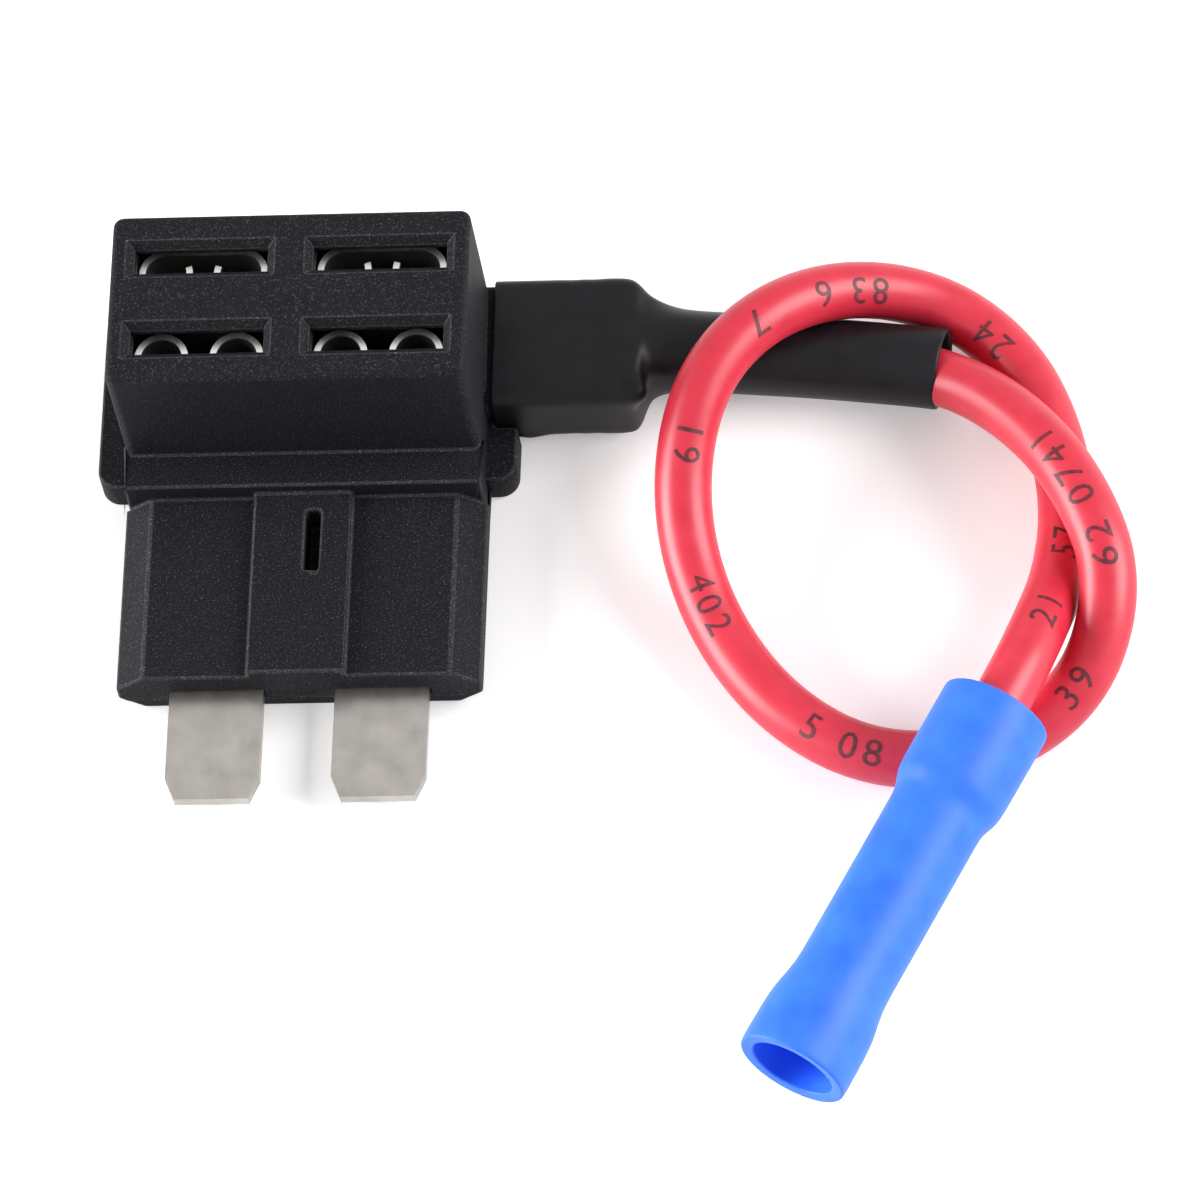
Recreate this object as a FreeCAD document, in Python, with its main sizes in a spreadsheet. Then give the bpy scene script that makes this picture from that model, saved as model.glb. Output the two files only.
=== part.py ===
import FreeCAD, Part
import math
import os

# Blade fuse tap: a two-shell holder that plugs into one position of a fuse box by its two blades and
# carries two standard blade fuses, with a red lead that ends in a blue insulated butt splice.
# Millimetres. +X to the lead, +Z to the slotted face, the blades point to -Y. The origin is on the back
# face, on the centre line, level with the shoulder that stops the plug.

os.makedirs("parts", exist_ok=True)
doc = FreeCAD.newDocument("blade_fuse_tap")
sheet = doc.addObject("Spreadsheet::Sheet", "sizes")

SIZES = [
    # plug, which enters the fuse box
    ("plug_length", 11.25), ("plug_width", 20.4), ("plug_face_width", 17.2), ("plug_back_width", 17.4),
    ("parting_level", 0.97), ("plug_side_top", 2.13), ("plug_front_level", 3.35),
    ("panel_width", 5.4), ("panel_rise", 0.57),
    ("window_width", 0.85), ("window_length", 3.7), ("window_depth", 2.1),
    ("window_offset", 0.63), ("window_from_shoulder", 1.15),
    # head with the fuse slots, and the shoulder below it
    ("head_width", 20.0), ("head_depth", 10.45), ("head_level", 13.4), ("shoulder_depth", 2.1),
    ("shoulder_level", 4.73), ("head_corner", 0.6), ("head_edge", 0.4),
    ("slot_width", 7.45), ("slot_height", 1.45), ("slot_pitch_across", 10.0), ("slot_pitch_along", 5.1),
    ("slots_off_middle", 0.075), ("slot_chamfer", 0.45), ("lip_thickness", 0.75), ("roll_room", 0.15),
    # flange of the back cover
    ("flange_left", 11.93), ("flange_right", 11.67), ("flange_level", 2.2), ("flange_start", 1.45),
    ("flange_corner", 1.1), ("flange_stop_at_boss", 4.8), ("back_edge", 0.12),
    # wire boss
    ("boss_end", 17.4), ("boss_depth", 7.3), ("boss_back_level", 0.7), ("boss_front_level", 4.7),
    ("boss_corner", 0.45), ("boss_root", 1.0), ("lead_level", 2.6), ("flange_gap_at_boss", 0.35),
    ("bore_overrun", 1.5),
    # sheet-metal terminals
    ("sheet_thickness", 0.35), ("blade_width", 5.25), ("blades_overall", 14.5), ("blade_reach", 6.65),
    ("blade_tip_side", 0.55), ("blade_tip_length", 1.3), ("neck_width", 4.2), ("fit_gap", 0.05),
    ("slot_overrun", 1.0),
    ("roll_radius", 1.5), ("roll_gap", 1.2), ("roll_length", 7.5), ("mouth_depth", 1.5),
    ("lower_roll_opening", 35.0), ("upper_roll_opening", 18.0), ("lower_base_outside", 1.15),
    ("upper_base_outside", 0.62), ("barrel_wall", 0.35), ("barrel_length", 4.0),
    ("barrel_start", 12.1), ("arm_width", 2.7), ("arm_overlap", 0.2), ("strand_inset", 0.3),
    # heat-shrink sleeve
    ("sleeve_wall", 0.33), ("sleeve_start", 10.4), ("sleeve_flat_end", 18.4), ("sleeve_round_start", 21.0),
    ("sleeve_clearance", 0.34),
    # lead and its butt splice
    ("lead_radius", 1.6), ("lead_clearance", 0.1), ("strand_radius", 0.95), ("splice_length", 23.9),
    ("splice_lead_depth", 4.6),
    ("bell_radius", 3.15), ("bell_wall", 0.75), ("waist_radius", 2.7), ("bell_length", 5.8),
    ("flare_length", 1.3), ("mouth_bell_length", 3.2), ("mouth_flare_length", 2.3), ("rim_chamfer", 0.25),
    ("splice_barrel_wall", 0.75), ("splice_barrel_start", 5.2), ("splice_barrel_length", 13.4),
    ("stop_width", 0.5), ("stop_height", 0.4), ("stop_dent", 0.2), ("strands_in_splice", 5.6),
]
for row, (alias, value) in enumerate(SIZES, start=1):
    sheet.set("A%d" % row, alias)
    sheet.set("B%d" % row, str(value))
    sheet.setAlias("B%d" % row, alias)
doc.recompute()


def size(alias):
    """the sheet's value of one driving dimension"""
    return float(sheet.get(alias))


# Centre of the lead, chosen along its course from the crimp barrel to inside the splice.
LEAD_POINTS = [
    (16.3, 8.9, 2.6), (21.3, 9.2, 2.5), (28.5, 8.6, 2.3), (34.9, 7.7, 2.3), (39.4, 4.3, 4.1),
    (43.2, -1.0, 5.8), (45.5, -7.0, 5.2), (43.7, -12.5, 2.4), (38.5, -16.0, 1.6), (31.9, -16.3, 1.6),
    (26.3, -12.7, 1.6), (22.4, -6.8, 2.0), (21.0, -0.8, 4.2), (22.2, 4.8, 6.8), (25.6, 9.2, 6.8),
    (30.3, 12.0, 4.7), (35.4, 12.2, 2.2), (39.5, 8.9, 1.6), (41.7, 4.2, 1.6), (42.6, -1.0, 1.7),
    (42.2, -5.7, 2.7), (41.2, -10.1, 5.1), (39.9, -14.2, 6.55), (37.05, -19.9, 6.55),
]

# Values worked out from the driving dimensions
HEAD_START = size("shoulder_depth")
HEAD_END = HEAD_START + size("head_depth")
HEAD_SIDE = size("head_width") / 2
BOSS_START = HEAD_END - size("boss_depth")
BOSS_MIDDLE = (BOSS_START + HEAD_END) / 2
BLADE_OUTER = size("blades_overall") / 2
BLADE_INNER = BLADE_OUTER - size("blade_width")
SLOTS_MIDDLE = (HEAD_START + HEAD_END) / 2 - size("slots_off_middle")
SLOT_ACROSS = size("slot_pitch_across") / 2
# outer faces of the receptacles' flat bases: the lower row's faces the plug, the upper row's faces away
SLOT_OUTSIDE = size("slot_pitch_along") / 2 + size("slot_height") / 2
LOWER_BASE = SLOTS_MIDDLE - SLOT_OUTSIDE - size("lower_base_outside")
UPPER_BASE = SLOTS_MIDDLE + SLOT_OUTSIDE + size("upper_base_outside")
CONTACT_HALF = 2 * size("roll_radius") + size("roll_gap") / 2
CHAMBER_GAP = 2 * size("fit_gap")
LEAD_BORE = size("lead_radius") + size("lead_clearance")
CRIMP_BORE = size("strand_radius") + size("fit_gap")
SLEEVE_RADIUS = size("lead_radius") + size("sleeve_clearance") + size("sleeve_wall")
SPLICE_METAL_BORE = size("strand_radius") + size("lead_clearance")
SPLICE_METAL_RADIUS = SPLICE_METAL_BORE + size("splice_barrel_wall")


def vector(x, y, z=0.0):
    return FreeCAD.Vector(x, y, z)


def new_body(label):
    body = doc.addObject("PartDesign::Body", label)
    body.Label = label
    return body


def plane_of(body, role):
    for feature in body.Origin.OriginFeatures:
        if feature.Role == role:
            return feature
    raise RuntimeError("no plane " + role)


def new_sketch(body, name, role, level="0"):
    """a sketch on one of the body's origin planes, at a level along its normal that the sheet gives"""
    sketch = body.newObject("Sketcher::SketchObject", name)
    sketch.AttachmentSupport = [(plane_of(body, role), "")]
    sketch.MapMode = "FlatFace"
    sketch.setExpression("AttachmentOffset.Base.z", level)
    return sketch


def outline(sketch, points, rounds=None):
    """a closed outline through the points, with the corners in rounds (index: radius) as tangent arcs"""
    rounds = rounds or {}
    count = len(points)
    corners = []
    for index in range(count):
        here = vector(*points[index])
        radius = rounds.get(index, 0)
        if radius <= 0:
            corners.append((here, None, here))
            continue
        to_last = (vector(*points[index - 1]) - here).normalize()
        to_next = (vector(*points[(index + 1) % count]) - here).normalize()
        half = to_last.getAngle(to_next) / 2
        start = here + to_last * (radius / math.tan(half))
        end = here + to_next * (radius / math.tan(half))
        inward = (to_last + to_next).normalize()
        middle = here + inward * (radius / math.sin(half) - radius)
        corners.append((start, middle, end))
    for index in range(count):
        start, middle, end = corners[index]
        if middle is not None:
            sketch.addGeometry(Part.Arc(start, middle, end), False)
        sketch.addGeometry(Part.LineSegment(end, corners[(index + 1) % count][0]), False)


def rectangle(left, right, low, high):
    return [(left, low), (right, low), (right, high), (left, high)]


def pad(body, sketch, name, length, backwards=False):
    feature = body.newObject("PartDesign::Pad", name)
    feature.Profile = sketch
    feature.setExpression("Length", length)
    feature.Reversed = backwards
    doc.recompute()
    return feature


def pocket(body, sketch, name, depth, backwards=False):
    """a pocket that has to take material away"""
    before = body.Tip.Shape.Volume
    feature = body.newObject("PartDesign::Pocket", name)
    feature.Profile = sketch
    feature.setExpression("Length", depth)
    feature.Reversed = backwards
    doc.recompute()
    if feature.Shape.Volume >= before:
        raise RuntimeError("the pocket %s cuts nothing" % name)
    return feature


def edges_where(shape, test):
    """the names of a shape's straight edges whose two ends pass the test"""
    names = []
    for number, edge in enumerate(shape.Edges, start=1):
        if len(edge.Vertexes) == 2 and test(edge.Vertexes[0].Point, edge.Vertexes[1].Point):
            names.append("Edge%d" % number)
    return names


def finish_edges(body, kind, name, test, amount):
    base = body.Tip
    names = edges_where(base.Shape, test)
    if not names:
        raise RuntimeError("no edges for " + name)
    feature = body.newObject("PartDesign::" + kind, name)
    feature.Base = (base, names)
    feature.setExpression("Radius" if kind == "Fillet" else "Size", amount)
    doc.recompute()
    return feature


def near(value, target):
    return abs(value - target) < 0.005


def beside_blade(side, low, high):
    """a rectangle that clears one blade's edges, side -1 left or 1 right, between two places along it"""
    left, right = sorted([side * (BLADE_OUTER + size("fit_gap")), side * (BLADE_INNER - size("fit_gap"))])
    return rectangle(left, right, low, high)


def chamber_outline(side, base, towards):
    """the footprint of one receptacle's chamber; towards is 1 where its rolls stand on the +Y side"""
    half = CONTACT_HALF + CHAMBER_GAP
    far = 2 * size("roll_radius") + CHAMBER_GAP + size("roll_room")
    ends = sorted([base - towards * CHAMBER_GAP, base + towards * far])
    return rectangle(side * SLOT_ACROSS - half, side * SLOT_ACROSS + half, ends[0], ends[1])


def boss_outline(low, high, corners):
    """the boss's section in Y and Z between two levels, with two rounded corners"""
    return rectangle(BOSS_START, HEAD_END, low, high), {index: size("boss_corner") for index in corners}


def front_housing():
    body = new_body("front_housing")
    half_face = size("plug_face_width") / 2
    half_plug = size("plug_width") / 2
    plug = new_sketch(body, "plug_section", "XZ_Plane")
    outline(plug, [(-half_plug, size("parting_level")), (half_plug, size("parting_level")),
                   (half_plug, size("plug_side_top")), (half_face, size("plug_front_level")),
                   (-half_face, size("plug_front_level")), (-half_plug, size("plug_side_top"))])
    pad(body, plug, "plug_front", "sizes.plug_length")
    panel = new_sketch(body, "panel_section", "XZ_Plane")
    half_panel = size("panel_width") / 2
    panel_level = size("plug_front_level") + size("panel_rise")
    outline(panel, rectangle(-half_panel, half_panel, size("plug_side_top"), panel_level))
    pad(body, panel, "panel", "sizes.plug_length")
    shoulder = new_sketch(body, "shoulder_outline", "XY_Plane", "sizes.parting_level")
    outline(shoulder, rectangle(-HEAD_SIDE, HEAD_SIDE, 0, size("flange_start")))
    pad(body, shoulder, "shoulder_front", "sizes.shoulder_level - sizes.parting_level")
    saddle = new_sketch(body, "saddle_outline", "XY_Plane", "sizes.flange_level")
    saddle_end = HEAD_START + 2 * size("head_corner")
    outline(saddle, rectangle(-HEAD_SIDE, HEAD_SIDE, size("flange_start"), saddle_end))
    pad(body, saddle, "shoulder_rear", "sizes.shoulder_level - sizes.flange_level")
    head = new_sketch(body, "head_outline", "XY_Plane", "sizes.flange_level")
    corner = size("head_corner")
    outline(head, rectangle(-HEAD_SIDE, HEAD_SIDE, HEAD_START, HEAD_END), dict.fromkeys(range(4), corner))
    pad(body, head, "head", "sizes.head_level - sizes.flange_level")
    boss = new_sketch(body, "boss_section", "YZ_Plane", "sizes.boss_end")
    points, rounds = boss_outline(size("flange_level"), size("boss_front_level"), (2, 3))
    outline(boss, points, rounds)
    pad(body, boss, "boss_front", "sizes.boss_end - sizes.head_width / 2 + sizes.boss_root", backwards=True)
    # cavities
    for side, name in ((-1, "left"), (1, "right")):
        slot = new_sketch(body, name + "_blade_slot", "XY_Plane", "sizes.parting_level")
        outline(slot, beside_blade(side, -size("plug_length") - size("slot_overrun"), size("flange_start")))
        height = "2 * sizes.sheet_thickness + 2 * sizes.fit_gap"
        pocket(body, slot, name + "_blade_pocket", height, backwards=True)
    for side, across in ((-1, "left"), (1, "right")):
        for base, towards, row in ((LOWER_BASE, 1, "lower"), (UPPER_BASE, -1, "upper")):
            chamber = new_sketch(body, "%s_%s_chamber" % (row, across), "XY_Plane", "sizes.flange_level")
            outline(chamber, chamber_outline(side, base, towards))
            pocket(body, chamber, "%s_%s_cavity" % (row, across),
                   "sizes.head_level - sizes.lip_thickness - sizes.flange_level", backwards=True)
            mouth = new_sketch(body, "%s_%s_slot" % (row, across), "XY_Plane", "sizes.head_level")
            middle = SLOTS_MIDDLE - towards * size("slot_pitch_along") / 2
            outline(mouth, rectangle(side * SLOT_ACROSS - size("slot_width") / 2,
                                     side * SLOT_ACROSS + size("slot_width") / 2,
                                     middle - size("slot_height") / 2, middle + size("slot_height") / 2))
            pocket(body, mouth, "%s_%s_mouth" % (row, across), "sizes.lip_thickness + sizes.fit_gap")
    window = new_sketch(body, "window_outline", "XY_Plane", "sizes.plug_front_level + sizes.panel_rise")
    window_top = -size("window_from_shoulder")
    outline(window, rectangle(size("window_offset") - size("window_width") / 2,
                              size("window_offset") + size("window_width") / 2,
                              window_top - size("window_length"), window_top))
    pocket(body, window, "window", "sizes.window_depth")
    bore = new_sketch(body, "lead_bore_outline", "YZ_Plane", "sizes.boss_end")
    bore.addGeometry(Part.Circle(vector(BOSS_MIDDLE, size("lead_level")), vector(0, 0, 1), LEAD_BORE), False)
    pocket(body, bore, "lead_bore", "sizes.boss_end - sizes.head_width / 2 + sizes.bore_overrun")
    # edges
    level = size("head_level")

    def on_top(a, b):
        return near(a.z, level) and near(b.z, level)

    def on_head_outline(point):
        return near(abs(point.x), HEAD_SIDE) or near(point.y, HEAD_START) or near(point.y, HEAD_END)

    def slot_rim(a, b):
        return on_top(a, b) and not on_head_outline(a)

    def head_rim(a, b):
        return on_top(a, b) and on_head_outline(a)

    finish_edges(body, "Chamfer", "slot_chamfers", slot_rim, "sizes.slot_chamfer")
    finish_edges(body, "Fillet", "head_rim_round", head_rim, "sizes.head_edge")
    return body


def back_cover():
    body = new_body("back_cover")
    half_plug = size("plug_width") / 2
    half_back = size("plug_back_width") / 2
    plug = new_sketch(body, "plug_section", "XZ_Plane", "-sizes.flange_start")
    outline(plug, [(-half_back, 0), (half_back, 0), (half_plug, size("parting_level")),
                   (-half_plug, size("parting_level"))])
    pad(body, plug, "plug_back", "sizes.plug_length + sizes.flange_start")
    left, right = -size("flange_left"), size("flange_right")
    notch = HEAD_SIDE + size("flange_gap_at_boss")
    flange = new_sketch(body, "flange_outline", "XY_Plane")
    corner = size("flange_corner")
    outline(flange, [(left, size("flange_start")), (right, size("flange_start")),
                     (right, size("flange_stop_at_boss")), (notch, size("flange_stop_at_boss")),
                     (notch, HEAD_END), (left, HEAD_END)],
            {0: corner, 1: corner, 5: corner})
    pad(body, flange, "flange", "sizes.flange_level")
    boss = new_sketch(body, "boss_section", "YZ_Plane", "sizes.boss_end")
    points, rounds = boss_outline(size("boss_back_level"), size("flange_level"), (0, 1))
    outline(boss, points, rounds)
    pad(body, boss, "boss_back", "sizes.boss_end - sizes.head_width / 2 + sizes.boss_root", backwards=True)
    # channels for the terminals' floor strips
    half_neck = size("neck_width") / 2 + size("fit_gap")
    depth = "sizes.flange_level - sizes.parting_level"
    for side, name in ((-1, "line"), (1, "load")):
        blade_channel = new_sketch(body, name + "_blade_channel_outline", "XY_Plane", "sizes.flange_level")
        neck = LOWER_BASE + size("sheet_thickness") + CHAMBER_GAP
        outline(blade_channel, beside_blade(side, size("flange_start") - size("fit_gap"), neck))
        pocket(body, blade_channel, name + "_blade_channel", depth)
    line_channel = new_sketch(body, "line_channel_outline", "XY_Plane", "sizes.flange_level")
    outline(line_channel, rectangle(-SLOT_ACROSS - half_neck, -SLOT_ACROSS + half_neck, LOWER_BASE,
                                    UPPER_BASE + CHAMBER_GAP))
    pocket(body, line_channel, "line_channel", depth)
    arm_end = size("barrel_start") + size("arm_overlap")
    tap_low = BOSS_MIDDLE - size("arm_width") / 2 - size("fit_gap")
    tap_high = BOSS_MIDDLE + size("arm_width") / 2 + size("fit_gap")
    tap_channel = new_sketch(body, "tap_channel_outline", "XY_Plane", "sizes.flange_level")
    outline(tap_channel, [(SLOT_ACROSS - half_neck, tap_low), (arm_end + size("fit_gap"), tap_low),
                          (arm_end + size("fit_gap"), tap_high), (SLOT_ACROSS + half_neck, tap_high),
                          (SLOT_ACROSS + half_neck, UPPER_BASE + CHAMBER_GAP),
                          (SLOT_ACROSS - half_neck, UPPER_BASE + CHAMBER_GAP)])
    pocket(body, tap_channel, "tap_channel", depth)
    bore = new_sketch(body, "lead_bore_outline", "YZ_Plane", "sizes.boss_end")
    bore.addGeometry(Part.Circle(vector(BOSS_MIDDLE, size("lead_level")), vector(0, 0, 1), LEAD_BORE), False)
    pocket(body, bore, "lead_bore", "sizes.boss_end - sizes.head_width / 2 + sizes.bore_overrun")

    plug_end = -size("plug_length")

    def back_rim(a, b):
        return near(a.z, 0) and near(b.z, 0) and near(a.y, plug_end) and near(b.y, plug_end)

    finish_edges(body, "Fillet", "plug_end_round", back_rim, "sizes.back_edge")
    return body


def receptacle_section(sketch, side, base, towards, opening):
    """the rolled receptacle seen from its mouth: a flat base whose two ends curl over and back to it"""
    middle = side * SLOT_ACROSS
    thick = size("sheet_thickness")
    outer = size("roll_radius")
    inner = outer - thick
    centre_off = CONTACT_HALF - outer
    centre_y = base + towards * outer

    def at(direction, radius, angle):
        """a point of the roll on one side; the angle is 0 at its outermost point and grows over its top"""
        x = middle + direction * (centre_off + radius * math.cos(angle))
        return vector(x, centre_y + towards * radius * math.sin(angle))

    last = math.pi + math.radians(opening)
    base_in = base + towards * thick
    for direction in (-1, 1):
        for radius in (outer, inner):
            start = at(direction, radius, -math.pi / 2)
            sketch.addGeometry(Part.Arc(start, at(direction, radius, (last - math.pi / 2) / 2),
                                        at(direction, radius, last)), False)
        sketch.addGeometry(Part.LineSegment(at(direction, outer, last), at(direction, inner, last)), False)
    left, right = middle - centre_off, middle + centre_off
    sketch.addGeometry(Part.LineSegment(vector(left, base), vector(right, base)), False)
    sketch.addGeometry(Part.LineSegment(vector(left, base_in), vector(right, base_in)), False)


def riser_outline(side, base, towards):
    """the footprint of the flat neck that carries a receptacle"""
    half = size("neck_width") / 2
    ends = sorted([base, base + towards * size("sheet_thickness")])
    return rectangle(side * SLOT_ACROSS - half, side * SLOT_ACROSS + half, ends[0], ends[1])


def add_receptacle(body, row, side, base, towards):
    """the neck up from the floor strip, and the rolled receptacle at its top"""
    riser = new_sketch(body, row + "_neck_outline", "XY_Plane", "sizes.parting_level + sizes.fit_gap")
    outline(riser, riser_outline(side, base, towards))
    rise = "sizes.head_level - sizes.mouth_depth - sizes.parting_level - sizes.fit_gap"
    pad(body, riser, row + "_neck", rise)
    rolls = new_sketch(body, row + "_roll_section", "XY_Plane", "sizes.head_level - sizes.mouth_depth")
    receptacle_section(rolls, side, base, towards, size(row + "_roll_opening"))
    pad(body, rolls, row + "_rolls", "sizes.roll_length", backwards=True)


def add_blade(body, side, end):
    """the blade: the strip folded flat on itself, with its tip corners cut, up to the lower receptacle"""
    outer, inner = side * BLADE_OUTER, side * BLADE_INNER
    tip = -size("plug_length") - size("blade_reach")
    cut = side * size("blade_tip_side")
    shoulder = tip + size("blade_tip_length")
    blade = new_sketch(body, "blade_outline", "XY_Plane", "sizes.parting_level + sizes.fit_gap")
    outline(blade, [(outer - cut, tip), (inner + cut, tip), (inner, shoulder), (inner, end), (outer, end),
                    (outer, shoulder)])
    pad(body, blade, "blade", "2 * sizes.sheet_thickness")


def line_terminal():
    body = new_body("line_terminal")
    add_blade(body, -1, LOWER_BASE + size("sheet_thickness"))
    add_receptacle(body, "lower", -1, LOWER_BASE, 1)
    strip = new_sketch(body, "floor_strip_outline", "XY_Plane", "sizes.parting_level + sizes.fit_gap")
    half = size("neck_width") / 2
    outline(strip, rectangle(-SLOT_ACROSS - half, -SLOT_ACROSS + half, LOWER_BASE, UPPER_BASE))
    pad(body, strip, "floor_strip", "sizes.sheet_thickness")
    add_receptacle(body, "upper", -1, UPPER_BASE, -1)
    return body


def load_terminal():
    body = new_body("load_terminal")
    add_blade(body, 1, LOWER_BASE + size("sheet_thickness"))
    add_receptacle(body, "lower", 1, LOWER_BASE, 1)
    return body


def tap_terminal():
    body = new_body("tap_terminal")
    half = size("neck_width") / 2
    low = BOSS_MIDDLE - size("arm_width") / 2
    high = BOSS_MIDDLE + size("arm_width") / 2
    strip = new_sketch(body, "floor_strip_outline", "XY_Plane", "sizes.parting_level + sizes.fit_gap")
    arm_end = size("barrel_start") + size("arm_overlap")
    outline(strip, [(SLOT_ACROSS - half, low), (arm_end, low), (arm_end, high), (SLOT_ACROSS + half, high),
                    (SLOT_ACROSS + half, UPPER_BASE), (SLOT_ACROSS - half, UPPER_BASE)])
    pad(body, strip, "floor_strip", "sizes.sheet_thickness")
    add_receptacle(body, "upper", 1, UPPER_BASE, -1)
    barrel = new_sketch(body, "barrel_section", "YZ_Plane", "sizes.barrel_start")
    centre = vector(BOSS_MIDDLE, size("lead_level"))
    barrel.addGeometry(Part.Circle(centre, vector(0, 0, 1), CRIMP_BORE + size("barrel_wall")), False)
    barrel.addGeometry(Part.Circle(centre, vector(0, 0, 1), CRIMP_BORE), False)
    pad(body, barrel, "crimp_barrel", "sizes.barrel_length")
    return body


def rounded_route(points, share=0.45):
    """straight runs joined by tangent arcs: the edges, and each arc's radius"""
    corners = [vector(*point) for point in points]
    edges = []
    radii = []
    start = corners[0]
    for index in range(1, len(corners) - 1):
        here = corners[index]
        back = corners[index - 1] - here
        ahead = corners[index + 1] - here
        reach = share * min(back.Length, ahead.Length)
        half = back.getAngle(ahead) / 2
        radius = reach * math.tan(half)
        back.normalize()
        ahead.normalize()
        arc_start = here + back * reach
        arc_end = here + ahead * reach
        inward = (back + ahead).normalize()
        arc_middle = here + inward * (radius / math.sin(half) - radius)
        edges.append(Part.LineSegment(start, arc_start).toShape())
        edges.append(Part.Arc(arc_start, arc_middle, arc_end).toShape())
        radii.append(radius)
        start = arc_end
    edges.append(Part.LineSegment(start, corners[-1]).toShape())
    return edges, radii


def tube_along(edges, radius):
    """a round solid swept along a route's edges"""
    path = Part.Wire(edges)
    start = edges[0].Vertexes[0].Point
    direction = edges[0].Vertexes[1].Point - start
    ring = Part.Wire([Part.makeCircle(radius, start, direction)])
    return path.makePipeShell([ring], True, False)


def part_feature(label, shape):
    feature = doc.addObject("Part::Feature", label)
    feature.Label = label
    feature.Shape = shape
    feature.Placement = FreeCAD.Placement()
    return feature


def red_wire():
    edges, radii = rounded_route(LEAD_POINTS)
    print("lead radii", [round(radius, 1) for radius in radii])
    tube = tube_along(edges, size("lead_radius"))
    length = sum(edge.Length for edge in edges)
    section = math.pi * size("lead_radius") ** 2
    ratio = tube.Volume / (section * length)
    print("lead length %.1f, volume over section times length %.4f" % (length, ratio))
    return part_feature("red_wire", tube)


def sleeve_section(across, low, high, left, right, radius):
    """a rounded rectangle across X, as a wire of lines and corner arcs"""
    at_corner = radius * (1 - math.cos(math.pi / 4))
    corners = [vector(across, left, low), vector(across, right, low),
               vector(across, right, high), vector(across, left, high)]
    edges = []
    ends = []
    for index in range(4):
        here = corners[index]
        back = (corners[index - 1] - here).normalize()
        ahead = (corners[(index + 1) % 4] - here).normalize()
        middle = here + (back + ahead) * at_corner
        ends.append((here + back * radius, middle, here + ahead * radius))
    for index in range(4):
        start, middle, end = ends[index]
        edges.append(Part.Arc(start, middle, end).toShape())
        edges.append(Part.LineSegment(end, ends[(index + 1) % 4][0]).toShape())
    return Part.Wire(edges)


def heat_shrink_sleeve():
    """shrunk over the boss, drawn in at its end, then a round sleeve that follows the lead"""
    edges, _ = rounded_route(LEAD_POINTS)
    wall = size("sleeve_wall")
    round_start = size("sleeve_round_start")
    # the round part follows the lead from its first run to half-way round its third bend
    first = edges[2]
    line_start, line_end = first.Vertexes[0].Point, first.Vertexes[1].Point
    share = (round_start - line_start.x) / (line_end.x - line_start.x)
    seat = line_start + (line_end - line_start) * max(share, 0)
    arc = edges[5]
    mouth = Part.Edge(arc.Curve, arc.FirstParameter, (arc.FirstParameter + arc.LastParameter) / 2)
    course = [Part.LineSegment(seat, line_end).toShape(), edges[3], edges[4], mouth]
    solids = []
    for inset, name in ((0, "outside"), (wall, "inside")):
        grow = wall - inset
        low, high = size("boss_back_level") - grow, size("boss_front_level") + grow
        left, right = BOSS_START - grow, HEAD_END + grow
        corner = size("boss_corner") + grow
        radius = SLEEVE_RADIUS - inset
        flat_end = size("sleeve_flat_end") - inset
        start = size("sleeve_start")
        square = sleeve_section(start, low, high, left, right, corner)
        flat = Part.Face(square).extrude(vector(flat_end - start, 0, 0))
        shoulder_in = sleeve_section(flat_end, low, high, left, right, corner)
        ring = Part.Wire([Part.makeCircle(radius, seat, line_end - line_start)])
        shoulder = Part.makeLoft([shoulder_in, ring], True, True)
        tube = tube_along(course, radius)
        solids.append(flat.fuse(shoulder).fuse(tube).removeSplitter())
    return part_feature("heat_shrink_sleeve", solids[0].cut(solids[1]))


def splice_frame():
    """the place of the butt splice: local X runs along its axis from its lead end to its open mouth"""
    inner = vector(*LEAD_POINTS[-1])
    last = vector(*LEAD_POINTS[-2])
    axis = (inner - last).normalize()
    start = inner - axis * size("splice_lead_depth")
    return FreeCAD.Placement(start, FreeCAD.Rotation(vector(1, 0, 0), axis))


def revolve_about_x(body, sketch, name):
    feature = body.newObject("PartDesign::Revolution", name)
    feature.Profile = sketch
    feature.ReferenceAxis = (plane_of(body, "X_Axis"), [""])
    feature.Angle = 360
    doc.recompute()
    return feature


def splice_sleeve():
    body = new_body("splice_sleeve")
    total = size("splice_length")
    bell, waist = size("bell_radius"), size("waist_radius")
    bell_end = size("bell_length")
    waist_start = bell_end + size("flare_length")
    mouth_start = total - size("mouth_bell_length")
    waist_end = mouth_start - size("mouth_flare_length")
    metal_start = size("splice_barrel_start")
    metal_end = metal_start + size("splice_barrel_length")
    bore, metal = bell - size("bell_wall"), SPLICE_METAL_RADIUS
    flare = bore - metal
    section = new_sketch(body, "sleeve_section", "XZ_Plane")
    rim = size("rim_chamfer")
    outline(section, [(0, bore), (metal_start - flare, bore), (metal_start, metal), (metal_end, metal),
                      (metal_end + flare, bore), (total, bore), (total, bell - rim), (total - rim, bell),
                      (mouth_start, bell), (waist_end, waist), (waist_start, waist), (bell_end, bell),
                      (rim, bell), (0, bell - rim)])
    revolve_about_x(body, section, "sleeve")
    body.Placement = splice_frame()
    return body


def splice_barrel():
    body = new_body("splice_barrel")
    start = size("splice_barrel_start")
    end = start + size("splice_barrel_length")
    middle = (start + end) / 2
    half_stop = size("stop_width") / 2
    stop, dent = size("stop_height"), size("stop_dent")
    bore, outer = SPLICE_METAL_BORE, SPLICE_METAL_RADIUS
    section = new_sketch(body, "barrel_section", "XZ_Plane")
    outline(section, [(start, bore), (middle - half_stop, bore), (middle, bore - stop),
                      (middle + half_stop, bore), (end, bore), (end, outer), (middle + half_stop, outer),
                      (middle, outer - dent), (middle - half_stop, outer), (start, outer)])
    revolve_about_x(body, section, "barrel")
    body.Placement = splice_frame()
    return body


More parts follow.
